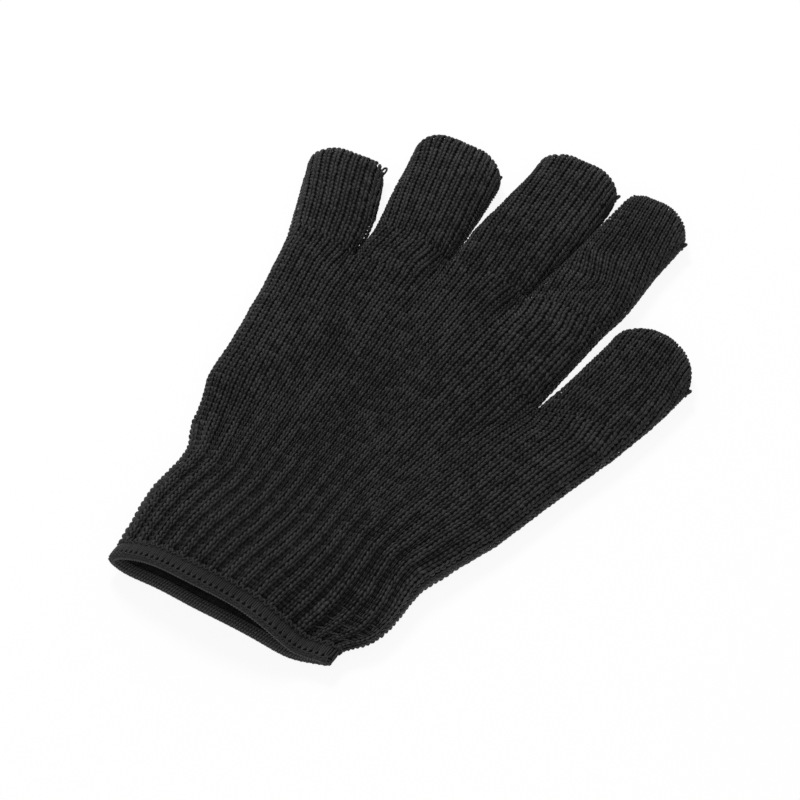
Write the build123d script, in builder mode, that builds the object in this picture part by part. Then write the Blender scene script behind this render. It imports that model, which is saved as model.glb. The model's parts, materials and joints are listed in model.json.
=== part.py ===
"""A seamless machine-knitted cut-resistant glove, lying flat with its palm up.

The origin is on the resting plane under the middle of the palm. +Y runs from the wrist to the
fingertips, +X to the thumb side and +Z up from the surface that the glove lies on.

The glove is one hollow knitted shell, made the way the machine makes it: tubes for the fingers are
joined into a three-finger, a four-finger and a five-finger section, and a ribbed cuff with laid-in
elastic ends in a serged edge. The shell is drawn once, as a flattened cushion over one outline with
a hollow of the same form inside it, and is then cut across where one section ends and the next
begins. A short stretch of knit at the wrist, and two on each digit, are the parts that bend.
"""

import math
import os
from dataclasses import dataclass

from build123d import *

# ------------------------------------------------------------ driving dimensions, millimetres
WALL = 1.8  # thickness of the knit
HEIGHT = 11.6  # of the glove lying flat
TOP_ROUND = 6.0  # how the upper side rolls over at the edges
BOTTOM_ROUND = 4.0  # the side that the glove lies on is flatter

MOUTH_Y = -101.7  # open end of the cuff
RIB_LOW_Y = -95.7  # the serged edge meets the rib
WRIST_LOW_Y = -58.0  # the rib meets the wrist
WRIST_HIGH_Y = -46.0  # the wrist meets the hand
THUMB_ROOT_Y = 21.0  # the thumb leaves the hand
LITTLE_ROOT_Y = 41.5  # the little finger leaves the hand
FINGER_ROOT_Y = 58.0  # the other three leave the hand
TIP_Y = 128.3  # tip of the longest finger

CROTCH_GAP = 0.8  # between two digits where they part
CROTCH_DEPTH = 1.4  # the gap starts this far below their roots
CROTCH_ROUND = 0.35
SIDE_ROUND = 30.0  # easing of the long sides of the outline

BEND_LENGTH = 12.4  # knit that gives at each bend of a digit: a little more than the height

MOUTH_X = (-39.6, 42.4)  # left and right side of the mouth
MOUTH_HEIGHT = 18.0
MOUTH_TOP_ROUND = MOUTH_HEIGHT * 5 / 9
MOUTH_BOTTOM_ROUND = MOUTH_HEIGHT * 11 / 30  # leaves a short flat between the two

RIB_COUNT = 36
RIB_HEIGHT = 0.8  # at the mouth
RIB_FADE = 0.15  # what is left of a rib where it runs out at the wrist
EDGE_PROUD = 0.4  # the serged edge stands out from the ribs
EDGE_EASE = 0.7

ELASTIC_COUNT = 6
ELASTIC_SIZE = 0.6
ELASTIC_MARGIN = 5.0  # from either end of the rib to the nearest elastic yarn

YARN = 1.2  # diameter of the ends of yarn knotted at the fingertips
KNOT = 2.6  # diameter of the knot
KNOT_HEIGHT = (BOTTOM_ROUND + HEIGHT - TOP_ROUND) / 2  # half way up the flat of the side
YARN_REACH = 1.8  # how far the end of yarn stands straight out before it curves
YARN_CURVE = 1.5

# Outline of the hand in plan. The wrist runs on below the cuff line, and is cut there.
RUN_ON = 24.0
WRIST_X = (-43.0, 50.0)
LITTLE_SIDE = ((-47.6, WRIST_HIGH_Y), (-56.2, -29.0), (-60.4, -11.0), (-63.3, 11.0), (-69.8, 35.2))
THUMB_SIDE = ((74.0, 15.0), (66.4, -9.5), (59.3, -34.0), (54.2, WRIST_HIGH_Y))


@dataclass
class Digit:
    """A digit in plan. Its corners are where its straight sides and end would meet if they
    weren't rounded. Left is the little-finger side."""

    name: str
    root_y: float
    root_x: tuple  # its left and right side at the root
    turn: tuple  # where its right side turns away from its neighbour, if it does
    tip_left: tuple
    tip_right: tuple
    round_left: float
    round_right: float
    mid_bend: float  # from its root to the middle of its second bend, along its length
    tie: float = 0.85  # where the yarn is tied off on the right corner, from its end to its side

    def root(self):
        """Middle of the root."""
        return Vector(sum(self.root_x) / 2, self.root_y)

    def along(self):
        """Direction of the digit."""
        tip = (Vector(*self.tip_left) + Vector(*self.tip_right)) / 2
        return (tip - self.root()).normalized()

    def tied_corner(self):
        """Where the yarn is tied off on the rounded right corner, and the direction out there."""
        corner = Vector(*self.tip_right)
        end = (Vector(*self.tip_left) - corner).normalized()
        side = (Vector(*(self.turn or (self.root_x[1], self.root_y))) - corner).normalized()
        inward = (end + side).normalized()
        half_angle = end.get_angle(inward)
        centre = corner + inward * (self.round_right / math.sin(math.radians(half_angle)))
        turned = (1 - 2 * self.tie) * (90 - half_angle)
        out = (inward * -1).rotate(Axis.Z, turned)
        return centre + out * self.round_right, out


LITTLE_RING_X = -44.9  # middle of each gap where two digits part
RING_MIDDLE_X = -15.7
MIDDLE_INDEX_X = 15.7
INDEX_THUMB_X = 43.0
HALF_GAP = CROTCH_GAP / 2

DIGITS = (
    Digit(
        name="little",
        root_y=LITTLE_ROOT_Y,
        root_x=(-72.5, LITTLE_RING_X - HALF_GAP),
        turn=(-46.9, 57.0),
        tip_left=(-90.2, 82.6),
        tip_right=(-60.2, 86.0),
        round_left=10.0,
        round_right=7.0,
        mid_bend=26.4,
    ),
    Digit(
        name="ring",
        root_y=FINGER_ROOT_Y,
        root_x=(-46.3, RING_MIDDLE_X - HALF_GAP),
        turn=(-15.9, 76.0),
        tip_left=(-57.6, 111.2),
        tip_right=(-20.4, 113.0),
        round_left=10.0,
        round_right=16.5,
        mid_bend=29.0,
    ),
    Digit(
        name="middle",
        root_y=FINGER_ROOT_Y,
        root_x=(RING_MIDDLE_X + HALF_GAP, MIDDLE_INDEX_X - HALF_GAP),
        turn=(21.2, 92.0),
        tip_left=(-11.4, TIP_Y),
        tip_right=(20.8, TIP_Y),
        round_left=9.5,
        round_right=14.0,
        mid_bend=34.0,
        tie=0.35,
    ),
    Digit(
        name="index",
        root_y=FINGER_ROOT_Y,
        root_x=(MIDDLE_INDEX_X + HALF_GAP, 46.8),
        turn=(),
        tip_left=(23.8, 125.0),
        tip_right=(53.2, 123.6),
        round_left=9.0,
        round_right=15.0,
        mid_bend=32.0,
    ),
    Digit(
        name="thumb",
        root_y=THUMB_ROOT_Y,
        root_x=(INDEX_THUMB_X + HALF_GAP, 75.0),
        turn=(),
        tip_left=(52.0, 66.6),
        tip_right=(83.9, 68.2),
        round_left=11.5,
        round_right=17.5,
        mid_bend=27.0,
    ),
)
CROTCH_X = (LITTLE_RING_X, RING_MIDDLE_X, MIDDLE_INDEX_X, INDEX_THUMB_X)


# ------------------------------------------------------------ the outline and the shell


def crotch_corners(left, right, middle_x):
    """Corners of the gap between two neighbouring digits, from the left one to the right one."""
    low_y = min(left.root_y, right.root_y) - CROTCH_DEPTH
    corners = [((middle_x - HALF_GAP, low_y), CROTCH_ROUND), ((middle_x + HALF_GAP, low_y), CROTCH_ROUND)]
    if left.turn:
        x, y = left.turn
        corners.insert(0, ((x, y), SIDE_ROUND))
        corners.append(((x + CROTCH_GAP, y), SIDE_ROUND))
    return corners


def outline_corners():
    """Every corner of the outline with its rounding, from the wrist round to the wrist again."""
    low_y = WRIST_LOW_Y - RUN_ON
    corners = [((WRIST_X[0], low_y), 0.0), ((WRIST_X[0], WRIST_LOW_Y), SIDE_ROUND)]
    corners += [(point, SIDE_ROUND) for point in LITTLE_SIDE]
    for i, digit in enumerate(DIGITS):
        corners.append((digit.tip_left, digit.round_left))
        corners.append((digit.tip_right, digit.round_right))
        if i < len(CROTCH_X):
            corners += crotch_corners(digit, DIGITS[i + 1], CROTCH_X[i])
    corners += [(point, SIDE_ROUND) for point in THUMB_SIDE]
    corners += [((WRIST_X[1], WRIST_LOW_Y), SIDE_ROUND), ((WRIST_X[1], low_y), 0.0)]
    return corners


def glove_outline():
    """The glove in plan."""
    corners = outline_corners()
    with BuildSketch() as plan:
        with BuildLine():
            Polyline(*[point for point, _ in corners], close=True)
        make_face()
        for point, rounding in corners:
            if rounding > 0:
                fillet(plan.vertices().sort_by_distance(Vector(*point))[0], radius=rounding)
    return plan.sketch


def cushion(plan, inset):
    """A flattened body over an outline, with every side standing in by the inset."""
    with BuildPart() as body:
        with BuildSketch(Plane.XY.offset(inset)):
            add(plan)
            if inset > 0:
                offset(amount=-inset, mode=Mode.REPLACE)
        extrude(amount=HEIGHT - 2 * inset)
        fillet(body.faces().sort_by(Axis.Z)[-1].edges(), radius=TOP_ROUND - inset)
        fillet(body.faces().sort_by(Axis.Z)[0].edges(), radius=BOTTOM_ROUND - inset)
    return body.part


def knitted_shell(outside, hollow):
    """The whole glove above the cuff, with its wrist still closed below the cuff line."""
    with BuildPart() as shell:
        add(outside)
        add(hollow, mode=Mode.SUBTRACT)
    return shell.part


# ------------------------------------------------------------ cutting the shell into sections


def course(y):
    """A plane along one course of the knit, square to the hand. Its upper side is up the hand."""
    return Plane(origin=(0, y, 0), x_dir=(1, 0, 0), z_dir=(0, 1, 0))


def cross_plane(digit, distance):
    """A plane square to a digit. Its upper side is towards the tip."""
    middle = digit.root() + digit.along() * distance
    return Plane(origin=middle, x_dir=(0, 0, 1), z_dir=digit.along())


def nearest_piece(part, point):
    """Cutting the glove across leaves a piece on each digit. This is the one at the point."""
    return part.solids().sort_by_distance(point)[0]


def between(body, low, high, point):
    """The piece of a body between two planes, at a point in plan."""
    with BuildPart() as piece:
        add(body)
        if low:
            split(bisect_by=low, keep=Keep.TOP)
        if high:
            split(bisect_by=high, keep=Keep.BOTTOM)
        here = nearest_piece(piece, Vector(point.X, point.Y, HEIGHT))
        add(here, mode=Mode.REPLACE)
    return piece.part


def save(part, name):
    """Labels a node and writes it."""
    part.label = name
    export_step(part, f"parts/{name}.step")


def build_hand(shell):
    """The wrist and the three sections of the hand, from the cuff to the fingers."""
    courses = (
        ("wrist_section", WRIST_LOW_Y, WRIST_HIGH_Y),
        ("hand_five_finger", WRIST_HIGH_Y, THUMB_ROOT_Y),
        ("hand_four_finger", THUMB_ROOT_Y, LITTLE_ROOT_Y),
        ("hand_three_finger", LITTLE_ROOT_Y, FINGER_ROOT_Y),
    )
    for name, low_y, high_y in courses:
        middle = Vector(0, (low_y + high_y) / 2)
        save(between(shell, course(low_y), course(high_y), middle), name)


# ------------------------------------------------------------ digits


def yarn_end(digit, outside):
    """A knot at the outer corner of a fingertip with a short curved end of yarn. The knot rests on
    the knit that it is tied to."""
    start, out = digit.tied_corner()
    knot = start + Vector(0, 0, KNOT_HEIGHT)
    with BuildPart() as yarn:
        with BuildLine() as tail:
            straight = Line(knot, knot + out * YARN_REACH)
            TangentArc(straight @ 1, straight @ 1 + (out + digit.along()) * YARN_CURVE, tangent=out)
        with BuildSketch(Plane(origin=knot, z_dir=out)):
            Circle(YARN / 2)
        sweep(path=tail.line)
        with Locations(knot):
            Sphere(KNOT / 2)
        add(outside, mode=Mode.SUBTRACT)
    return yarn.part


def build_digit(shell, outside, digit):
    """The root section, tube, middle section and tip of a digit, and its end of yarn."""
    mid = digit.mid_bend
    half = BEND_LENGTH / 2
    root = course(digit.root_y)
    tube = course(digit.root_y + BEND_LENGTH)
    middle = cross_plane(digit, mid - half)
    tip = cross_plane(digit, mid + half)
    whole = between(shell, root, None, digit.root() + digit.along() * mid)
    cuts = (
        ("root_section", None, tube, half),
        ("tube", tube, middle, (BEND_LENGTH + mid - half) / 2),
        ("middle_section", middle, tip, mid),
        ("tip", tip, None, mid + BEND_LENGTH),
    )
    for name, low, high, distance in cuts:
        here = digit.root() + digit.along() * distance
        save(between(whole, low, high, here), f"{digit.name}_{name}")
    save(yarn_end(digit, outside), f"{digit.name}_yarn_end")


# ------------------------------------------------------------ cuff


@dataclass
class CuffEnd:
    """One end of the ribbed cuff, measured over the crowns of its ribs."""

    y: float
    sides: tuple
    bottom: float
    top: float
    bottom_round: float
    top_round: float
    rib: float  # how far a rib stands up from the valleys

    def plane(self):
        """A plane across the cuff. Its normal points out of the mouth, its Y is up."""
        return Plane(origin=(0, self.y, 0), x_dir=(1, 0, 0), z_dir=(0, -1, 0))

    def outline(self, inset):
        """The flattened ring of the cuff at this end, standing in from the crowns."""
        left, right = self.sides
        centre = (left + right) / 2, (self.bottom + self.top) / 2
        with BuildSketch() as ring:
            with Locations(centre):
                Rectangle(right - left - 2 * inset, self.top - self.bottom - 2 * inset)
            fillet(ring.vertices().group_by(Axis.Y)[-1], radius=self.top_round - inset)
            fillet(ring.vertices().group_by(Axis.Y)[0], radius=self.bottom_round - inset)
        return ring.sketch

    def ribbed_outline(self):
        """Ribs of equal width all round, each one an arc from valley to valley."""
        valleys = self.outline(self.rib).face().outer_wire()
        step = valleys.length / RIB_COUNT
        centre = valleys.center()
        with BuildSketch() as ring:
            with BuildLine():
                for i in range(RIB_COUNT):
                    start = valleys.position_at(i * step, PositionMode.LENGTH)
                    middle = valleys.position_at((i + 0.5) * step, PositionMode.LENGTH)
                    end = valleys.position_at((i + 1) % RIB_COUNT * step, PositionMode.LENGTH)
                    out = (end - start).cross(Vector(0, 0, 1)).normalized()
                    if out.dot(middle - centre) < 0:
                        out = out * -1
                    ThreePointArc(start, middle + out * self.rib, end)
            make_face()
        return ring.sketch


WRIST_END = CuffEnd(WRIST_LOW_Y, WRIST_X, 0.0, HEIGHT, BOTTOM_ROUND, TOP_ROUND, RIB_FADE)
MOUTH_END = CuffEnd(
    y=RIB_LOW_Y,
    sides=(MOUTH_X[0] + EDGE_PROUD, MOUTH_X[1] - EDGE_PROUD),
    bottom=EDGE_PROUD,
    top=MOUTH_HEIGHT - EDGE_PROUD,
    bottom_round=MOUTH_BOTTOM_ROUND - EDGE_PROUD,
    top_round=MOUTH_TOP_ROUND - EDGE_PROUD,
    rib=RIB_HEIGHT,
)
CUFF_ENDS = (MOUTH_END, WRIST_END)


def cuff_form(inset):
    """The smooth tapered form of the cuff, standing in from the crowns of its ribs."""
    with BuildPart() as form:
        for end in CUFF_ENDS:
            with BuildSketch(end.plane()):
                add(end.outline(inset))
        loft(ruled=True)
    return form.part


def elastic_ring(y):
    """One elastic yarn, laid into the inner side of the rib."""
    with BuildPart() as ring:
        add(cuff_form(WALL - ELASTIC_SIZE))
        add(cuff_form(WALL), mode=Mode.SUBTRACT)
        split(bisect_by=course(y), keep=Keep.TOP)
        split(bisect_by=course(y + ELASTIC_SIZE), keep=Keep.BOTTOM)
    return ring.part


def build_cuff():
    """The ribbed tube, full at the mouth and running out at the wrist, and its elastic yarns."""
    low_y = RIB_LOW_Y + ELASTIC_MARGIN
    high_y = WRIST_LOW_Y - ELASTIC_MARGIN
    step = (high_y - low_y) / (ELASTIC_COUNT - 1)
    rings = [elastic_ring(low_y + i * step) for i in range(ELASTIC_COUNT)]
    with BuildPart() as rib:
        for end in CUFF_ENDS:
            with BuildSketch(end.plane()):
                add(end.ribbed_outline())
        loft(ruled=True)
        add(cuff_form(WALL), mode=Mode.SUBTRACT)
        add(rings, mode=Mode.SUBTRACT)
    save(rib.part, "cuff_rib")
    for number, ring in enumerate(rings, start=1):
        save(ring, f"cuff_elastic_{number}")


def build_edge():
    """The serged band round the mouth, a little thicker than the rib it ends."""
    with BuildPart() as edge:
        with BuildSketch(MOUTH_END.plane()):
            add(MOUTH_END.outline(-EDGE_PROUD))
            add(MOUTH_END.outline(WALL), mode=Mode.SUBTRACT)
        extrude(amount=RIB_LOW_Y - MOUTH_Y)
        fillet(edge.faces().sort_by(Axis.Y)[0].edges(), radius=EDGE_EASE)
    save(edge.part, "cuff_edge")


# ------------------------------------------------------------ the whole glove


def build():
    """Writes every section of the glove as a node of its own."""
    os.makedirs("parts", exist_ok=True)
    plan = glove_outline()
    outside = cushion(plan, 0.0)
    shell = knitted_shell(outside, cushion(plan, WALL))
    build_cuff()
    build_edge()
    build_hand(shell)
    for digit in DIGITS:
        build_digit(shell, outside, digit)


build()
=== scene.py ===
# %% [markdown]
# # A knitted glove, stitch by stitch
# This scene dresses the solid parts of a seamless cut-resistant glove in real knitting. Every
# stitch is a small piece of yarn, laid on a soft hollow form that follows the solid glove.
# A bump texture would be lighter, but it can't show the edges of the stitches against a white
# table.

# %% Tools and the solid glove
import json
import math

import bpy
import numpy as np
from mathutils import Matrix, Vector


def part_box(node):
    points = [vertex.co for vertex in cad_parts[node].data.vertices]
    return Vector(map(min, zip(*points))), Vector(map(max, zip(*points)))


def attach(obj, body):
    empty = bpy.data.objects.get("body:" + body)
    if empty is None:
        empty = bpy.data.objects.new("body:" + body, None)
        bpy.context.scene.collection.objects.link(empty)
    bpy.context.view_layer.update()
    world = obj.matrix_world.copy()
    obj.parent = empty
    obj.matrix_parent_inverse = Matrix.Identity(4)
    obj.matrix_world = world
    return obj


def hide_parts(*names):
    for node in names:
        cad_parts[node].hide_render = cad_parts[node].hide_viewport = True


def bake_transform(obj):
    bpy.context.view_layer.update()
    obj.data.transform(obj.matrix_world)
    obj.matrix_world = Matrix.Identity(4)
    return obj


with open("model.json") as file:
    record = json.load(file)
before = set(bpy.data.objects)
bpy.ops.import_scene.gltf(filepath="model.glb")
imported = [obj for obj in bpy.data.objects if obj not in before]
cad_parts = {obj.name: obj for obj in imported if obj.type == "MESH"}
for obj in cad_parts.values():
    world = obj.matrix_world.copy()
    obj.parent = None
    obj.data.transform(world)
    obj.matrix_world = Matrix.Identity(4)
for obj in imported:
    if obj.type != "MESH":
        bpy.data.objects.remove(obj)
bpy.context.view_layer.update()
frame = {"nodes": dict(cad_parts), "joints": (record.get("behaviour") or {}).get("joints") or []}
MM = 0.001
print("solid nodes:", len(frame["nodes"]))

# %% [markdown]
# ## Where the knit runs
# The form is drawn over the solid glove, so its outline is read from there. Cutting the solids
# across at one height of the hand gives the left and right side of the glove at that height.
# Reading it this way keeps the knit on the part when its sizes change.

# %% Reading the outline from the solids
DIGITS = ("little", "ring", "middle", "index", "thumb")
PARTS = ("root_section", "tube", "middle_section", "tip")


def low_y(node):
    """Lower end of a node along the hand, in millimetres."""
    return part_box(node)[0].y / MM


def high_y(node):
    """Upper end of a node along the hand, in millimetres."""
    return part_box(node)[1].y / MM


def edges_of(names):
    """Both ends of every edge of some solids, in millimetres."""
    ends = []
    for name in names:
        mesh = frame["nodes"][name].data
        points = np.zeros(len(mesh.vertices) * 3)
        mesh.vertices.foreach_get("co", points)
        pairs = np.zeros(len(mesh.edges) * 2, int)
        mesh.edges.foreach_get("vertices", pairs)
        ends.append(points.reshape(-1, 3)[pairs.reshape(-1, 2)] / MM)
    return np.concatenate(ends)


def span(edges, ys):
    """Left and right side of the solids where each line across the hand cuts them."""
    low, high = [], []
    for y in ys:
        a, b = edges[:, 0], edges[:, 1]
        cut = (a[:, 1] - y) * (b[:, 1] - y) < 0
        a, b = a[cut], b[cut]
        share = (y - a[:, 1]) / (b[:, 1] - a[:, 1])
        at = a[:, 0] + share * (b[:, 0] - a[:, 0])
        low.append(at.min())
        high.append(at.max())
    return np.array(low), np.array(high)


MOUTH = low_y("cuff_edge")
RIB = low_y("cuff_rib")
WRIST = low_y("wrist_section")
HAND = low_y("hand_five_finger")
THUMB = low_y("hand_four_finger")
LITTLE = low_y("hand_three_finger")
KNUCKLES = high_y("hand_three_finger")
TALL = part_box("hand_five_finger")[1].z / MM
ROOT = {"little": LITTLE, "ring": KNUCKLES, "middle": KNUCKLES, "index": KNUCKLES, "thumb": THUMB}

YARN_IN = 0.55  # the form stands this far inside the outline, for the yarn over it
OFF_END, OFF_TIP = 0.05, 0.02  # a solid is never cut right at its end
sides = {}
for d in DIGITS:
    ys = np.linspace(ROOT[d] + OFF_END, high_y(f"{d}_tip") - OFF_TIP, 140)
    left, right = span(edges_of([f"{d}_{part}" for part in PARTS]), ys)
    wide = right - left > 3 * YARN_IN
    sides[d] = (ys[wide], left[wide] + YARN_IN, right[wide] - YARN_IN)
hand_ys = np.linspace(WRIST + OFF_END, KNUCKLES - OFF_END, 150)
hand_edges = edges_of(["wrist_section", "hand_five_finger", "hand_four_finger", "hand_three_finger"])
hand_left, hand_right = span(hand_edges, hand_ys)
hand_left, hand_right = hand_left + YARN_IN, hand_right - YARN_IN
print("hand from", round(WRIST, 1), "to", round(KNUCKLES, 1), "mm")

# %% Joining the sides into one outline
def side(values_y, values_x, lowest, highest):
    """Points up one side of the glove between two heights."""
    keep = (values_y > lowest) & (values_y < highest)
    return [(x, y) for x, y in zip(values_x[keep], values_y[keep])]


outline = side(hand_ys, hand_left, WRIST, LITTLE)
for d in DIGITS:
    ys, left, right = sides[d]
    if d == "ring":
        outline += side(hand_ys, hand_left, LITTLE, KNUCKLES)
    if d == "thumb":
        outline += side(hand_ys, hand_right, THUMB, KNUCKLES)[::-1]
    outline += list(zip(left, ys)) + list(zip(right, ys))[::-1]
outline += side(hand_ys, hand_right, WRIST, THUMB)[::-1]
outline = np.array(outline)
print("outline of", len(outline), "points")

# %% [markdown]
# ## The soft form
# An empty knitted glove lies almost flat. Its two layers meet along the outline, roll over there
# and rise to a low dome in between, and a crease runs down the palm from where two fingers part.
# Writing this as a height over the table is simpler than sculpting it, and each crease keeps a
# size of its own that can be changed.

# %% Where digits part, and how the layers roll over
ROLL_TOP, ROLL_UNDER = 6.6, 4.2  # how far in from the outline each layer rolls over
RIM = 0.44 * TALL  # height of the roll's outermost line
YARN_OUT = 0.55  # the yarn stands this far out of the form


def crotch(left, right):
    """Where two neighbouring digits part."""
    y = min(ROOT[left], ROOT[right])
    x = sides[left][2][0] if ROOT[left] <= ROOT[right] else sides[right][1][0]
    return np.array([x, y])


def distance_to_outline(points):
    """Distance in plan from each point to the nearest stretch of the outline."""
    start = outline
    step = np.roll(outline, -1, axis=0) - outline
    keep = (step**2).sum(1) > 1e-9
    keep[-1] = False
    start, step = start[keep], step[keep]
    best = np.full(len(points), 1e9)
    for s, d in zip(start, step):
        t = np.clip(((points - s) @ d) / (d @ d), 0, 1)
        best = np.minimum(best, ((points - s - t[:, None] * d) ** 2).sum(1))
    return np.sqrt(best)


def rolled(distance, roll):
    """A quarter circle from 0 at the outline to 1 where the layer has rolled over."""
    t = np.clip(distance / roll, 0, 1)
    return np.sqrt(np.clip(1 - (1 - t) ** 2, 0, 1))


def smooth(t):
    """Eases from 0 to 1."""
    t = np.clip(t, 0, 1)
    return t * t * (3 - 2 * t)


def mix(a, b, share):
    """A mixture of two values, with this share of the second."""
    return a * (1 - share) + b * share

# %% Creases and slack
CREASES = [  # start, end, depth and half width of creases over the index finger and the palm
    ((20, 62), (39, 73), 1.3, 2.6),
    ((21, 76), (40, 80), 1.5, 2.4),
    ((36, 6), (14, -44), 1.5, 5.0),
    ((-2, 6), (-14, -40), 1.3, 5.5),
    ((-28, 4), (-29, -46), 1.2, 5.0),
]
for (a, b), (dx, dy), depth, wide in (  # and of those that run down from where two digits part
    (("little", "ring"), (6.0, -20.0), 2.2, 3.4),
    (("ring", "middle"), (3.0, -36.0), 3.8, 4.2),
    (("middle", "index"), (-3.0, -40.0), 3.4, 4.0),
    (("index", "thumb"), (-10.0, -30.0), 2.6, 5.5),
):
    start = crotch(a, b)
    CREASES.append((start, start + (dx, dy), depth, wide))


def creased(points):
    """Depth of the creases at each point."""
    total = np.zeros(len(points))
    for start, end, depth, wide in CREASES:
        line = np.subtract(end, start)
        t = np.clip(((points - start) @ line) / (line @ line), 0, 1)
        off = points - start - t[:, None] * line
        total += depth * (1 - t) ** 0.9 * np.exp(-(off**2).sum(1) / wide**2)
    return total


def slack(points):
    """Slow unevenness of limp cloth, a fraction of a millimetre."""
    x, y = points[:, 0], points[:, 1]
    wave = 0.45 * np.sin(x / 9.0 + y / 17.0 + 0.6) + 0.35 * np.sin(y / 11.0 - x / 23.0)
    wave += 0.22 * np.sin(x / 4.7 - y / 8.1 + 2.0) + 0.2 * np.sin(x / 14.0 + y / 6.3)
    return wave

# %% Height of the two layers
DOME, DOME_IN = 1.9, 26  # how much higher the middle lies, and how far in from the outline
LIES_FLATTER = 0.6  # the empty glove's upper layer, under the top of the solid one
CREASES_FROM = 6  # how far in from the outline the creases and the slack reach their depth
LAYERS_APART = 0.3


def layers(points):
    """Height of the upper and lower layer over each point in plan."""
    d = distance_to_outline(points)
    dome = DOME * smooth(d / DOME_IN)
    over, under = rolled(d, ROLL_TOP), rolled(d, ROLL_UNDER)
    uneven = smooth(d / CREASES_FROM) * (slack(points) - creased(points))
    top = RIM + (TALL - YARN_OUT - RIM - LIES_FLATTER) * over + dome + uneven
    low = RIM - (RIM - YARN_OUT) * under
    return top, np.minimum(low, top - LAYERS_APART)


print("creases:", len(CREASES), "and a roll of", round(RIM, 1), "mm at the edge")

# %% [markdown]
# ## Wales and courses
# Knitting is a grid. A column of stitches is a wale and runs the length of a finger; a row is a
# course and runs round it. Each finger brings its wales down into the hand, where all of them run
# on side by side into the ribs of the cuff, so a wale can be followed from fingertip to cuff.
# Laying the grid first and the yarn on it afterwards is how the machine sees it too.

# %% Counting the wales
IN_DIGIT = {"little": 10, "ring": 12, "middle": 12, "index": 13, "thumb": 14}  # wales
IN_HAND = {"little": 9, "ring": 10, "middle": 11, "index": 10, "thumb": 11}  # wales of each run on
COURSE = 1.82  # height of one stitch
DIGIT_WIDE, DIGIT_RISE = 30, 3.5  # of a digit, for the spacing of its wales


def folded(count, width, start, end, roll=ROLL_TOP, rise=5.5):
    """Places count + 1 lines across a layer so that they are evenly spaced over its surface,
    including where it rolls over at the start or the end. Returns shares of the width."""
    x = np.linspace(0, width, 400)
    z = np.zeros_like(x)
    z += rise * rolled(x, roll) * start
    z += rise * rolled(width - x, roll) * end
    run = np.concatenate([[0], np.cumsum(np.hypot(np.diff(x), np.diff(z)))])
    return np.interp(np.linspace(0, run[-1], count + 1), run, x) / width


def boundary(at, wrist_share):
    """A line down the hand from a crotch to its share of the wrist."""
    x0, y0 = at
    left, right = hand_left[0], hand_right[0]
    x1 = left + wrist_share * (right - left)
    return lambda y: x0 + (x1 - x0) * np.clip((y0 - y) / (y0 - WRIST), 0, 1)

# %% Courses of the hand
HAND_RUN_WIDE = 24  # width of the outermost run of wales in the hand
GATHER = 12  # over this length the hand's wales gather into the digit's
counts = np.array([IN_HAND[d] for d in DIGITS])
shares = np.cumsum(counts)[:-1] / counts.sum()
lines = [boundary(crotch(a, b), s) for a, b, s in zip(DIGITS, DIGITS[1:], shares)]


def hand_rows(ys, digits, sections):
    """Plan positions of the grid over some sections of the hand: one row for each course."""
    first, last = DIGITS.index(digits[0]), DIGITS.index(digits[-1])
    inner = np.clip(ys, ys[0] + OFF_END, ys[-1] - OFF_END)
    left, right = span(edges_of(sections), inner)
    left, right = left + YARN_IN, right - YARN_IN
    edges = [left] + [lines[i](ys) for i in range(first, last)] + [right]
    columns = []
    for i, d in enumerate(digits):
        n = IN_HAND[d]
        even = np.linspace(0, 1, n + 1)
        outer_left, outer_right = i == 0, i == len(digits) - 1
        base = folded(n, HAND_RUN_WIDE, outer_left, outer_right) if outer_left or outer_right else even
        tube = folded(n, DIGIT_WIDE, True, True, rise=DIGIT_RISE)
        tops = [ROOT[a] for a in DIGITS[max(0, first + i - 1) : first + i + 2]]
        near = smooth((ys - (min(max(tops), ROOT[d]) - GATHER)) / GATHER)[:, None]
        x = edges[i][:, None] + mix(base, tube, near) * (edges[i + 1] - edges[i])[:, None]
        columns.append(x if i == 0 else x[:, 1:])
    x = np.concatenate(columns, axis=1)
    return np.stack([x, np.repeat(ys[:, None], x.shape[1], axis=1)], axis=-1)

# %% Courses of a digit
STRAIGHT = (0.15, 0.55)  # between these shares of its length a digit's sides run straight
KEPT_STRAIGHT = 0.8  # how far its outer wales keep that direction up to the tip
SLIP = 0.9  # how far a wale may be pushed in before it ends
CLOSES_FROM = 0.45  # share of its length from which the courses close up to the tip
OVER_TIP = 3.0  # knit that turns over the end


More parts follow.
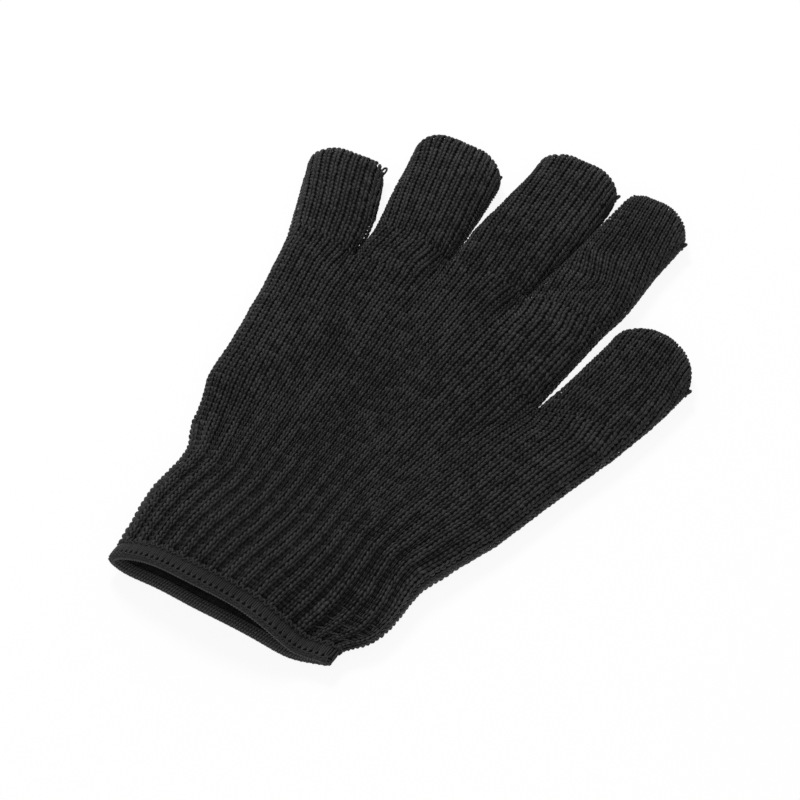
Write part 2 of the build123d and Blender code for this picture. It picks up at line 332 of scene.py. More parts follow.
def digit_rows(d):
    """Plan positions of the grid over one digit. Wales run straight on to the rounded tip, and
    the courses near the tip close up towards its two corners."""
    ys, left, right = sides[d]
    n = IN_DIGIT[d]
    reach = ys[-1] - ys[0]
    low, high = ys[0] + STRAIGHT[0] * reach, ys[0] + STRAIGHT[1] * reach
    fit = (ys > low) & (ys < high)
    upper = smooth((ys - low) / (high - low)) * KEPT_STRAIGHT
    wide_left, wide_right = (
        edge + (np.polyval(np.polyfit(ys[fit], edge[fit], 1), ys) - edge) * upper
        for edge in (left, right)
    )
    across = folded(n, DIGIT_WIDE, True, True, rise=DIGIT_RISE)
    ends = []
    for u in across:
        x = wide_left + u * (wide_right - wide_left)
        beyond = np.nonzero(((x < left - SLIP) | (x > right + SLIP)) & (ys > high))[0]
        inside = beyond[0] if len(beyond) else len(ys) - 1
        ends.append(ys[inside])
    ends = np.convolve(np.pad(ends, 1, "edge"), (0.2, 0.6, 0.2), "valid")
    rows = int(round((ends.max() - ys[0] + OVER_TIP) / COURSE))
    along = folded(rows, ends.max() - ys[0], False, True)
    common = (ys[0] + along * (ends.max() - ys[0]))[:, None]
    turn = ys[0] + CLOSES_FROM * reach
    closed_up = turn + (common - turn) * (ends - turn) / (ends.max() - turn)
    y = np.where(common < turn, common, closed_up)
    wl = np.interp(y, ys, wide_left)
    wr = np.interp(y, ys, wide_right)
    x = wl + across * (wr - wl)
    x = np.clip(x, np.interp(y, ys, left), np.interp(y, ys, right))
    return np.stack([x, y], axis=-1)

# %% Both layers, as the empty glove has settled
def rows_between(low, high):
    """Heights of the courses between two heights."""
    return np.linspace(low, high, int(round((high - low) / COURSE)) + 1)


def both_layers(plan):
    """Points of the upper and lower layer over a grid in plan."""
    flat = plan.reshape(-1, 2)
    return tuple(np.column_stack([flat, z]).reshape(*plan.shape[:2], 3) for z in layers(flat))


SPREAD = {  # how each digit lies beside the solid one at its tip: across and along
    "little": (-0.3, 0.4),
    "ring": (-0.9, 0.1),
    "middle": (-0.6, -0.8),
    "index": (-1.1, -0.3),
    "thumb": (1.5, 1.3),
}
DRAWN_IN = (  # where the empty glove has drawn in or let out: x, y, push in x, push in y, how wide
    (-60, -12, 1.7, 0.0, 14),
    (-47, -49, -1.2, 0.0, 6),
    (-44, -64, 1.9, 0.0, 9),
    (48, -64, -1.8, 0.0, 9),
    (46, -84, 0.9, -0.4, 7),
    (80, 27, 1.0, 0.0, 12),
    (-37, -103, 2.2, -3.2, 13),
    (-10, -104, 0.0, -1.0, 13),
    (41, -100, -2.8, 2.6, 11),
    (28, -103, 0.0, -1.3, 9),
    (48, 22, 0.0, -4.5, 13),
)
PULLED = {  # the same for single digits, from their roots up
    "little": ((-88, 77, -1.3, 0.7, 5),),
    "ring": ((-50, 102, -0.8, 0.8, 5),),
    "middle": ((-13, 122, -1.3, 0.6, 5),),
    "index": ((50, 75, 1.6, 0.0, 13), (32, 76, 2.6, -1.2, 8), (30, 88, -1.0, 0.0, 7)),
    "thumb": ((48, 59, -1.6, 1.2, 6), (46, 46, -0.8, 0.0, 8)),
}


MOUTH_FROM, MOUTH_EASE = -78, 22  # from here down the mouth has slipped, more on its right side


def pushed(x, y, dx, dy, pushes, share=1.0):
    """Adds some pushes to how far points move across and along."""
    for px, py, push_x, push_y, wide in pushes:
        near = np.exp(-((x - px) ** 2 + (y - py) ** 2) / wide**2) * share
        dx, dy = dx + push_x * near, dy + push_y * near
    return dx, dy


def settle(grid, digit=None):
    """Moves a grid in plan as the empty glove has settled on the table."""
    x, y = grid[..., 0], grid[..., 1]
    dx, dy = pushed(x, y, np.zeros_like(x), np.zeros_like(y), DRAWN_IN)
    dy = dy + (1.0 + 1.4 * np.clip(x / 40, -1, 1)) * smooth((MOUTH_FROM - y) / MOUTH_EASE)
    if digit:
        share = smooth((y - ROOT[digit]) / 22)
        dx, dy = dx + SPREAD[digit][0] * share, dy + SPREAD[digit][1] * share
        dx, dy = pushed(x, y, dx, dy, PULLED[digit], smooth((y - ROOT[digit]) / 9))
    return np.stack([x + dx, y + dy, grid[..., 2]], axis=-1)

# %% The grids of the hand and the digits
BEND_FROM = HAND + 3.0  # the knit that bends at the wrist, with a little of both sides
BEND_TO = WRIST - 3.0
grids = {}
five = rows_between(WRIST, THUMB)
grids["five"] = both_layers(hand_rows(five, DIGITS, ["wrist_section", "hand_five_finger"]))
four, three = rows_between(THUMB, LITTLE), rows_between(LITTLE, KNUCKLES)
grids["four"] = both_layers(hand_rows(four, DIGITS[:4], ["hand_four_finger"]))
grids["three"] = both_layers(hand_rows(three, DIGITS[1:4], ["hand_three_finger"]))
for d in DIGITS:
    grids[d] = both_layers(digit_rows(d))
for name, (up, _) in grids.items():
    print(name, "grid:", up.shape[1] - 1, "wales,", up.shape[0] - 1, "courses")

# %% [markdown]
# ## The cuff
# The cuff is knitted two up and one down, so that it pulls together into ribs: two wales stand up
# and spread, and the third sinks between them. It narrows to the mouth, where it stands open.

# %% The ribbed cuff
RIB_CREST, RIB_VALLEY = 0.75, -0.65  # height of a rib's middle wale, and depth of its sides
RIB_SPREAD = 0.16  # how far the wales beside it move over, in wales
RIBS_FADE = 30  # over this length the ribs run out in the hand
OPEN_TO = 0.85  # the mouth's upper layer lies down at this share of its width
MOUTH_RIM = 0.32  # height of the mouth's fold, as a share of the mouth's height
UPPER_IN, LOWER_IN = 1.2, 1.5  # room for the serged edge over and under the mouth
CUFF_IN = 0.5  # and at its sides
CUFF_WIDE, CUFF_ROLL, CUFF_RISE = 78, 9.0, 8.0  # of the mouth, for the spacing of the wales
cuff_ys = rows_between(RIB, WRIST)[::-1]
cuff_left, cuff_right = span(edges_of(["cuff_rib"]), np.clip(cuff_ys, RIB + OFF_END, WRIST - OFF_END))
mouth_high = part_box("cuff_edge")[1].z / MM


def rib_shift(k, amount):
    """Spreads the two wales of a rib and sinks the third between them. k counts wales."""
    phase = np.mod(k, 3)
    sideways = np.where(phase == 2, RIB_SPREAD, np.where(phase == 0, -RIB_SPREAD, 0.0)) * amount
    lift = np.where(phase == 1, RIB_CREST, RIB_VALLEY) * amount
    return sideways, lift


def cuff_rows():
    """Points of both layers of the cuff, from the wrist to the serged edge."""
    n = counts.sum()
    start_up, start_down = grids["five"][0][0], grids["five"][1][0]
    u0 = (start_up[:, 0] - start_up[0, 0]) / (start_up[-1, 0] - start_up[0, 0])
    u1 = folded(n, CUFF_WIDE, True, True, roll=CUFF_ROLL, rise=CUFF_RISE)
    up, down = [], []
    for j, y in enumerate(cuff_ys):
        t = (WRIST - y) / (WRIST - RIB)
        ease = smooth(t * 1.15)
        u = mix(u0, u1, ease)
        left = mix(start_up[0, 0], cuff_left[j] + CUFF_IN, ease)
        right = mix(start_up[-1, 0], cuff_right[j] - CUFF_IN, ease)
        x = left + u * (right - left)
        open_at = np.clip(u / OPEN_TO, 0, 1)
        lens = (1 - np.abs(2 * open_at - 1) ** 2.5) ** (0.5 + 0.5 * open_at**2)
        rim = mix(RIM, MOUTH_RIM * mouth_high, ease)
        mouth_top = rim + (mouth_high - UPPER_IN - rim) * lens
        mouth_bottom = rim - (rim - LOWER_IN) * (1 - np.abs(2 * u - 1) ** 5) ** 0.5
        for layer, at_wrist, at_mouth in ((up, start_up, mouth_top), (down, start_down, mouth_bottom)):
            z = mix(at_wrist[:, 2], at_mouth, ease)
            layer.append(np.column_stack([x, np.full_like(x, y), z]))
    return np.array(up), np.array(down)

# %% Gathering the wales into ribs
def unit(vectors):
    """Vectors that point the same ways and are one long."""
    return vectors / np.maximum(np.linalg.norm(vectors, axis=-1, keepdims=True), 1e-9)


def normals(grid, outward):
    """Direction out of the form at each point of a grid of points."""
    return unit(np.cross(np.gradient(grid, axis=1), np.gradient(grid, axis=0)) * outward)


def ribbed(grid, outward, amount):
    """A grid with its wales gathered into ribs, by an amount for each course."""
    n = grid.shape[1]
    k = np.arange(n)
    sideways, lift = rib_shift(k[None, :], amount[:, None])
    sideways[:, [0, -1]] = 0
    across = np.gradient(grid, axis=1)
    return grid + across * sideways[..., None] + normals(grid, outward) * lift[..., None]


grids["cuff"] = tuple(g[::-1] for g in cuff_rows())
# Pieces are divided by the heights that the courses had before the glove settled.
HEIGHTS = {name: np.median(up[:, :, 1], axis=1) for name, (up, _) in grids.items()}
for name in grids:
    grids[name] = tuple(settle(g, name if name in DIGITS else None) for g in grids[name])
fade = 1 - smooth((five - WRIST) / RIBS_FADE)
grids["five"] = tuple(ribbed(g, s, 0.85 * fade) for g, s in zip(grids["five"], (1, -1)))
fade = 0.85 + 0.15 * smooth((WRIST - HEIGHTS["cuff"]) / 8)
grids["cuff"] = tuple(ribbed(g, s, fade) for g, s in zip(grids["cuff"], (1, -1)))
print("cuff grid:", grids["cuff"][0].shape)

# %% [markdown]
# ## One stitch
# From the outside a plain stitch shows as two legs of yarn that lean apart, with both ends tucked
# behind the next stitch. Two short tapering tubes are enough: a stitch is copied thousands of
# times, so it has few faces.

# %% The stitch and its back
SIDES = 6


def mesh_of(name, points, faces, uvs=()):
    """A smooth mesh, with coordinates along the yarn if it has any."""
    mesh = bpy.data.meshes.new(name)
    mesh.from_pydata([tuple(p) for p in points], [], faces)
    if len(uvs):
        mesh.uv_layers.new(name="yarn").data.foreach_set("uv", np.array(uvs).reshape(-1))
    mesh.polygons.foreach_set("use_smooth", [True] * len(faces))
    mesh.update()
    return mesh


def strand(paths, radii):
    """Tubes along some paths in a cell that is one wide and one high, with a depth in
    millimetres. Radii are across the tube in cells and in depth."""
    points, faces, uvs = [], [], []
    for path in paths:
        first, count = len(points), len(path)
        for i, (x, y, z) in enumerate(path):
            swell = 0.6 + 0.4 * math.sin(math.pi * i / (count - 1))
            along_x = path[min(i + 1, count - 1)][0] - path[max(i - 1, 0)][0]
            along_y = path[min(i + 1, count - 1)][1] - path[max(i - 1, 0)][1]
            length = math.hypot(along_x, along_y)
            for s in range(SIDES):
                a = 2 * math.pi * s / SIDES
                side_x, side_y = along_y / length, -along_x / length
                across = radii[0] * swell * math.cos(a)
                deep = radii[1] * swell * math.sin(a)
                points.append((x + side_x * across, y + side_y * across, z + deep))
        for i in range(count - 1):
            for s in range(SIDES):
                a, b = first + i * SIDES + s, first + i * SIDES + (s + 1) % SIDES
                faces.append((a, b, b + SIDES, a + SIDES))
                near, far = s / SIDES, (s + 1) / SIDES
                low, high = i / (count - 1), (i + 1) / (count - 1)
                uvs += [(near, low), (far, low), (far, high), (near, high)]
    return mesh_of("strand", points, faces, uvs)


def plain_stitch():
    """The face of a stitch: two legs that lean apart, tucked in at both ends."""
    legs = [[], []]
    for mirror, leg in zip((-1, 1), legs):
        for t in (0, 0.25, 0.5, 0.75, 1):
            x = mirror * (0.1 + 0.165 * math.sin(math.pi * (0.06 + 0.5 * t)))
            z = -0.25 - 1.0 * abs(x) + 0.95 * math.sin(math.pi * (0.08 + 0.84 * t)) ** 0.8
            leg.append((x, -0.6 + 1.2 * t, z))
    return strand(legs, (0.21, 0.42))


def purl_stitch():
    """The back of a stitch: an arc across the cell that dips at both ends."""
    arc = []
    for i in range(6):
        t = i / 5
        arch = math.sin(math.pi * t)
        arc.append((-0.62 + 1.24 * t, -0.28 + 0.5 * arch, -0.2 + 0.5 * arch))
    return strand([arc], (0.27, 0.34))


stitch = bpy.data.objects.new("stitch", plain_stitch())
purl = bpy.data.objects.new("purl", purl_stitch())
print("one stitch:", len(stitch.data.polygons), "faces")

# %% [markdown]
# ## Knitting a flat swatch
# A small node tree does the knitting. It lays out a flat grid with one face for each stitch, puts
# a copy of the stitch on every face, a little uneven in size and in depth of colour, and keeps the
# grid itself, sunk a little, as the dark inner side of the fabric. The swatch is wrapped on the
# form afterwards. Putting the stitches straight on the form is a shorter way, but a stiff stitch
# can't bend round the edge of a finger, and the knit gapes there.

# %% Building node trees
def feed(node, *ordered, **named):
    """Gives a node its settings, which are named in small letters, and its inputs, in order or by
    name with underscores for spaces. An input takes a number or colour, or is linked to a socket."""
    for name, value in named.items():
        if name.islower():
            setattr(node, name, value)
    inputs = [(name.replace("_", " "), value) for name, value in named.items() if not name.islower()]
    for name, value in [*enumerate(ordered), *inputs]:
        if isinstance(value, bpy.types.NodeSocket):
            node.id_data.links.new(value, node.inputs[name])
        elif value is not None:
            node.inputs[name].default_value = value
    return node


def add(tree, kind, *ordered, **named):
    """Adds a node to a tree, with its settings and inputs."""
    return feed(tree.nodes.new(kind), *ordered, **named)


def maths(tree, operation, *values):
    """The result of one step of arithmetic with numbers and sockets."""
    return add(tree, "ShaderNodeMath", *values, operation=operation).outputs[0]

# %% The knitting tree
def knitting_tree():
    """A node tree that knits a flat swatch, with one unit for a stitch each way."""
    tree = bpy.data.node_groups.new("knitting", "GeometryNodeTree")
    for kind, names in (
        ("Geometry", ("Geometry",)),
        ("Int", ("Wales", "Courses", "Seed")),
        ("Object", ("Stitch",)),
        ("Float", ("Sink", "Wander", "Unevenness")),
        ("Material", ("Yarn", "Backing")),
    ):
        for name in names:
            tree.interface.new_socket(name, in_out="INPUT", socket_type=f"NodeSocket{kind}")
    tree.interface.new_socket("Swatch", in_out="OUTPUT", socket_type="NodeSocketGeometry")
    given = add(tree, "NodeGroupInput").outputs
    wales, courses, wander, uneven = (given[n] for n in ("Wales", "Courses", "Wander", "Unevenness"))

    def vector(x, y, z):
        """Three numbers as a vector."""
        return add(tree, "ShaderNodeCombineXYZ", x, y, z).outputs[0]

    def chance(kind, low, high, offset):
        """A random value for each stitch, between two sockets, from the seed."""
        node = add(tree, "FunctionNodeRandomValue", data_type=kind)
        wanted = "VECTOR" if kind == "FLOAT_VECTOR" else "VALUE"
        pick = {s.name: s for s in node.inputs if s.enabled and (s.name == "Seed" or s.type == wanted)}
        seed = maths(tree, "ADD", given["Seed"], offset)
        for name, value in (("Min", low), ("Max", high), ("Seed", seed)):
            tree.links.new(value, pick[name])
        return next(s for s in node.outputs if s.enabled)

    def geometry(kind, **named):
        """Adds a node and returns what it makes."""
        return add(tree, "GeometryNode" + kind, **named).outputs[0]

    rows, columns = maths(tree, "ADD", courses, 1), maths(tree, "ADD", wales, 1)
    grid = geometry("MeshGrid", Size_X=wales, Size_Y=courses, Vertices_X=columns, Vertices_Y=rows)
    half = vector(maths(tree, "MULTIPLY", wales, 0.5), maths(tree, "MULTIPLY", courses, 0.5), None)
    grid = geometry("Transform", Geometry=grid, Translation=half)
    back = maths(tree, "MULTIPLY", wander, -1)
    turned = chance("FLOAT_VECTOR", vector(back, back, back), vector(wander, wander, wander), 1)
    grown = chance("FLOAT", maths(tree, "ADD", back, 1), maths(tree, "ADD", wander, 1), 2)
    copies = geometry(
        "InstanceOnPoints",
        Points=geometry("MeshToPoints", mode="FACES", Mesh=grid),
        Instance=add(tree, "GeometryNodeObjectInfo", Object=given["Stitch"]).outputs["Geometry"],
        Rotation=turned,
        Scale=grown,
    )
    named = {"data_type": "FLOAT", "domain": "INSTANCE", "Name": "tint", "Geometry": copies}
    toned = add(tree, "GeometryNodeStoreNamedAttribute", **named)
    tone = chance("FLOAT", maths(tree, "SUBTRACT", 0.5, uneven), maths(tree, "ADD", uneven, 0.5), 3)
    tree.links.new(tone, next(s for s in toned.inputs if s.name == "Value" and s.enabled))
    real = geometry("RealizeInstances", Geometry=toned.outputs["Geometry"])
    below = vector(None, None, maths(tree, "MULTIPLY", given["Sink"], -1))
    sunk = geometry("Transform", Geometry=grid, Translation=below)
    both = add(tree, "GeometryNodeJoinGeometry")
    feed(both, Geometry=geometry("SetMaterial", Geometry=real, Material=given["Yarn"]))
    feed(both, Geometry=geometry("SetMaterial", Geometry=sunk, Material=given["Backing"]))
    add(tree, "NodeGroupOutput", both.outputs["Geometry"])
    return tree


KNITTING = knitting_tree()
SOCKETS = {i.name: i.identifier for i in KNITTING.interface.items_tree if i.in_out == "INPUT"}
print("knitting tree:", len(KNITTING.nodes), "nodes")

# %% [markdown]
# ## The yarns
# The yarn is dyed black and spun from strong fibre with a little glass in it, so it is matt and
# hardly ever a true black. A weave of plies follows each stitch's own coordinates, and every
# stitch has its own slightly different depth of colour. Its fine grey glints, and the light and
# shade of the ribs and creases, are painted into that colour when the knit is wrapped.

# %% Materials
def node_material(name):
    """A new material and its node tree."""
    material = bpy.data.materials.new(name)
    material.use_nodes = True
    return material, material.node_tree


def yarn_material(name, dark, light, roughness, sheen):
    """Twisted black yarn. Dark and light are the ends of its range of colour."""
    material, tree = node_material(name)
    place = add(tree, "ShaderNodeTexCoord").outputs["Object"]
    mottle = add(tree, "ShaderNodeTexNoise", Vector=place, Scale=55.0, Detail=3.0).outputs["Fac"]
    tint = add(tree, "ShaderNodeAttribute", attribute_name="tint").outputs["Fac"]
    depth = maths(tree, "MULTIPLY_ADD", mottle, 0.9, tint)
    scale = add(tree, "ShaderNodeMapRange", Value=depth, From_Min=0.2, From_Max=1.6)
    ramp = add(tree, "ShaderNodeValToRGB", Fac=scale.outputs["Result"])
    for end, position, colour in zip(ramp.color_ramp.elements, (0.25, 1.0), (dark, light)):
        end.position, end.color = position, (*colour, 1)
    own = add(tree, "ShaderNodeUVMap", uv_map="yarn").outputs["UV"]
    twist = add(tree, "ShaderNodeTexWave", bands_direction="DIAGONAL", Vector=own)
    feed(twist, Scale=0.9, Distortion=1.5, Detail=2.0)
    bump = add(tree, "ShaderNodeBump", Height=twist.outputs["Fac"], Strength=0.35, Distance=0.0002)
    shader = tree.nodes["Principled BSDF"]
    feed(shader, Base_Color=ramp.outputs["Color"], Normal=bump.outputs["Normal"])
    feed(shader, Roughness=roughness, Specular_IOR_Level=0.22, Sheen_Weight=sheen, Sheen_Roughness=0.45)
    return material


KNIT = yarn_material("black_yarn", (0.0048, 0.0046, 0.005), (0.025, 0.0243, 0.025), 0.5, 0.03)
BACKING = yarn_material("inner_yarn", (0.0066, 0.0064, 0.0066), (0.0125, 0.0122, 0.0125), 0.9, 0.0)
THREAD = yarn_material("edge_thread", (0.006, 0.0057, 0.006), (0.020, 0.0195, 0.020), 0.55, 0.03)
# a lit copy of the edge thread: the same black thread painted lighter, as painted light on the inner
# side of the edge
INNER_THREAD_PAINTED_LIGHT = yarn_material(
    "inner_edge_thread_painted_light", (0.014, 0.0136, 0.014), (0.056, 0.0545, 0.056), 0.55, 0.05
)
ELASTIC = yarn_material("covered_elastic", (0.010, 0.010, 0.010), (0.02, 0.02, 0.02), 0.6, 0.05)
print("materials:", len(bpy.data.materials))

# %% [markdown]
# ## Wrapping the knit on the form
# Each section of the glove is a closed tube of wales, over the upper layer and back under the
# lower one. A flat swatch with the same count is laid round it: the place of each of its points
# between the lines of the grid stays the same, and its depth is measured out of the form. Pieces
# end in the middle of the stretches that don't bend, and those of the hand and the cuff follow their
# body.

# %% Reading a place between the lines of a grid
rng = np.random.default_rng(41)
RINGS = {name: np.concatenate([up, down[:, -2:0:-1]], axis=1) for name, (up, down) in grids.items()}


def ring_normals(ring):
    """Direction out of a closed tube at each point of its grid."""
    across = np.roll(ring, -1, axis=1) - np.roll(ring, 1, axis=1)
    out = unit(np.cross(across, np.gradient(ring, axis=0)))
    return unit((np.roll(out, -1, axis=1) + np.roll(out, 1, axis=1)) / 4 + out / 2)


def cubic(t):
    """Weights of four neighbours for a smooth curve through the middle two."""
    return (
        0.5 * (-t + 2 * t**2 - t**3),
        0.5 * (2 - 5 * t**2 + 3 * t**3),
        0.5 * (t + 4 * t**2 - 3 * t**3),
        0.5 * (-(t**2) + t**3),
    )


def on_ring(values, u, v):
    """Values on a closed tube's grid, read between its lines: u counts wales, v courses."""
    below = [values[0] * 3 - values[1] * 2, values[0] * 2 - values[1]]
    above = [values[-1] * 2 - values[-2], values[-1] * 3 - values[-2] * 2]
    tall = np.concatenate([below, values, above])
    column, row = np.floor(u).astype(int), np.floor(v).astype(int)
    result = np.zeros((len(u), 3))
    across, along = cubic(u - column), cubic(v - row)
    for i in range(4):
        line = np.zeros((len(u), 3))
        for j in range(4):
            place = tall[np.clip(row + i + 1, 0, len(tall) - 1), (column + j - 1) % values.shape[1]]
            line += place * across[j][:, None]
        result += line * along[i][:, None]
    return result

# %% Wrapping a swatch
WALE_TONE = 0.06  # how much the colour differs from wale to wale
PAINTED_GLINT, PAINTED_GLINT_SHARE = 0.8, 0.05  # how much lighter a stitch is painted where its glass would glint, a painted highlight, and what share has one
RIB_PAINTED_HIGHLIGHT, RIB_PAINTED_SHADE = 0.55, 0.35  # painted highlight on the yarn where a rib turns, and painted shade on the sunk wale
SLACK_PAINTED_LIGHT_AND_SHADE, CREASE_PAINTED_SHADE = 0.1, 0.15  # painted light and shade, lighter where the slack lifts the upper layer and darker where it sinks, and painted shade in the creases, for each millimetre up or down in the upper layer


def wrap(mesh, ring, first, way, deep, closes, ribs, lean):
    """Lays a flat swatch round a tube, from one of its courses up. Way is -1 for its inner side,
    which lies so deep under the form. Ribs says at which courses the painted highlight and shade of
    the ribs show, and how much. Lean is how far the wales drift to one side with each course."""
    count = len(mesh.vertices)
    flat = np.zeros(count * 3)
    mesh.vertices.foreach_get("co", flat)
    flat = flat.reshape(-1, 3)
    v = flat[:, 1] + first
    u = flat[:, 0] - lean * v
    if closes:
        v = np.minimum(v, len(ring) - 0.9)
    out = unit(on_ring(ring_normals(ring), u, v))
    place = on_ring(ring, u, v) + out * (way * flat[:, 2] - deep)[:, None]
    mesh.vertices.foreach_set("co", (place * MM).reshape(-1))
    tint = mesh.attributes.get("tint")
    tone = np.zeros(count)
    tint.data.foreach_get("value", tone)
    wale = np.clip(np.floor(flat[:, 0]), 0, ring.shape[1] - 1).astype(int)
    tone += rng.normal(0, WALE_TONE, ring.shape[1])[wale]
    course = np.clip(np.floor(v), 0, len(ring)).astype(int)
    # painted highlights: a few stitches are painted lighter, as glints of light off the glass in the
    # yarn
    tone += PAINTED_GLINT * (rng.random((len(ring) + 1, ring.shape[1])) < PAINTED_GLINT_SHARE)[course, wale]
    # painted highlight on the crest of each rib, and painted shade on its sunk wale
    if ribs is not None:
        crest = (u % 3 > 1) & (u % 3 < 1.5)
        tone += (RIB_PAINTED_HIGHLIGHT * crest - RIB_PAINTED_SHADE * (wale % 3 == 2)) * np.interp(v, ribs[0], ribs[1])
    # painted light and shade on the upper layer: lighter where the slack rises, darker where it sinks
    # and in the creases
    on_top = smooth((place[:, 2] - RIM) / 2)
    pressed_in = np.minimum(creased(place[:, :2]), 2.0)
    tone += on_top * (SLACK_PAINTED_LIGHT_AND_SHADE * slack(place) - CREASE_PAINTED_SHADE * pressed_in)
    tint.data.foreach_set("value", tone)
    if way < 0:
        mesh.flip_normals()
    mesh.update()

# %% Knitting a piece
# In single knitting the wales drift to one side, here by this share of a wale each course.
LEAN = {"little": 0.049, "ring": 0.066, "middle": 0.086, "index": 0.17, "thumb": 0.107}
# The painted highlight and shade of the ribs show all over the cuff, and less and less over the first 16
# courses of the hand.
RIB_PAINTED_LIGHT_AND_SHADE = {"five": ((0, 16), (1, 0)), "cuff": ((0, 1), (1, 1))}
WANDER, UNEVENNESS = 0.1, 0.42  # how far stitches turn and grow, and how their colour varies


def rows_at(tube, low, high):
    """First and last course of a tube between two heights of the hand."""
    return [int(np.abs(HEIGHTS[tube] - y).argmin()) for y in (low, high)]


def in_scene(name, data):
    """A new object in the scene."""
    made = bpy.data.objects.new(name, data)
    bpy.context.scene.collection.objects.link(made)
    return made


def knit(name, tube, low, high, seed, of_stitch=stitch, sink=0.5, way=1, deep=0.0):
    """A piece of knitting round one of the tubes, between two heights of the hand."""
    ring = RINGS[tube]
    first, last = rows_at(tube, low, high)
    base = in_scene(name + "_swatch", bpy.data.meshes.new(name + "_swatch"))
    modifier = base.modifiers.new("knitting", "NODES")
    modifier.node_group = KNITTING
    size = {"Wales": ring.shape[1], "Courses": last - first, "Seed": seed}
    chosen = {"Stitch": of_stitch, "Sink": sink, "Yarn": KNIT, "Backing": BACKING}
    for key, value in {**size, **chosen, "Wander": WANDER, "Unevenness": UNEVENNESS}.items():
        modifier[SOCKETS[key]] = value
    graph = bpy.context.evaluated_depsgraph_get()
    mesh = bpy.data.meshes.new_from_object(base.evaluated_get(graph), depsgraph=graph)
    bpy.data.objects.remove(base)
    closes = tube in DIGITS and last == len(ring) - 1
    wrap(mesh, ring, first, way, deep, closes, RIB_PAINTED_LIGHT_AND_SHADE.get(tube), LEAN.get(tube, 0.0))
    mesh.name = name
    piece = in_scene(name, mesh)
    print(name, "with", last - first, "courses and", len(mesh.polygons), "faces")
    return piece

# %% The hand
MID_HAND = (BEND_FROM + THUMB) / 2
for name, tube, low, high, node, seed in (
    ("hand_heel", "five", BEND_FROM, MID_HAND, "hand_five_finger", 19),
    ("hand_palm", "five", MID_HAND, THUMB, "hand_five_finger", 19),
    ("hand_four", "four", THUMB, LITTLE, "hand_four_finger", 19),
    ("hand_three", "three", LITTLE, KNUCKLES, "hand_three_finger", 20),
):
    piece = knit(name, tube, low, high, seed)
    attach(piece, "hand")
    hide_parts(node)

# %% The wrist, between the hand and the cuff
for name, tube, low, high in (
    ("wrist_upper", "five", WRIST, BEND_FROM),
    ("wrist_lower", "cuff", BEND_TO, WRIST),
):
    piece = knit(name, tube, low, high, seed=41)
    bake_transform(piece)
    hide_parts("wrist_section")

# %% [markdown]
# ## The digits
# Each digit is two pieces that meet in its stiff middle tube. The lower one lies over the bend
# between the hand and the tube at the root, and the upper one over the bend between the tube and the
# tip.

# %% The digits
joints = {j["name"]: j for j in frame["joints"]}
BEND = high_y("middle_root_section") - low_y("middle_root_section")
PAST_TIP = 1000  # a height that no fingertip reaches
for number, d in enumerate(DIGITS):
    middle = joints[f"{d}_middle_bend"]
    centre = Vector(middle["pos_m"])
    axis = Vector(middle["axis"])
    along = Vector((-axis.y, axis.x, 0)).normalized()
    root_end = ROOT[d] + BEND
    bend_start = centre - along * BEND / 2 * MM
    split = (root_end + bend_start.y / MM) / 2
    root_piece = knit(f"{d}_lower_knit", d, ROOT[d], split, seed=50 + number)
    tip_piece = knit(f"{d}_end_knit", d, split, PAST_TIP, seed=60 + number)
    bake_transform(root_piece)
    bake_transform(tip_piece)
    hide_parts(f"{d}_root_section", f"{d}_tube")
    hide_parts(f"{d}_middle_section", f"{d}_tip")

# %% [markdown]
# ## The cuff, outside and inside
# The mouth stands a little open, and what shows inside is the back of the knit: short arcs of
# yarn that lie across, course over course.

# %% The cuff
MID_CUFF = (RIB + BEND_TO) / 2
DEEP = RIB + 26.0  # how far in the inner side can be seen
INNER_DEEP = 0.9  # the inner side of the knit lies this far under the form
cuff_upper = knit("cuff_upper", "cuff", MID_CUFF, BEND_TO, seed=71)
cuff_lower = knit("cuff_lower", "cuff", RIB, MID_CUFF, seed=72)
cuff_inner = knit("cuff_inner", "cuff", RIB, DEEP, 73, purl, sink=0.3, way=-1, deep=INNER_DEEP)
for piece in (cuff_upper, cuff_lower, cuff_inner):
    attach(piece, "cuff")
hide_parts("cuff_rib")
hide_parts("cuff_rib")

# %% [markdown]
# ## The serged edge
# The mouth is closed off by an overlocked edge: fine threads wrap over it side by side, a needle
# thread runs along their upper ends, and a chain of loops lies along the rim. The wrapping
# threads are pulled together in small groups, which leaves a row of holes under the chain. On
# the inner side the threads lie loose in three rows of fine chain, painted lighter than the rest
# of the edge as painted light, and darker the deeper in they lie as painted shade. All of it
# follows one line round the mouth, so that the edge keeps to the knit.

# %% Tubes of yarn
def run_along(path):
    """How far along a path each of its points lies."""
    return np.concatenate([[0], np.cumsum(np.linalg.norm(np.diff(path, axis=0), axis=1))])


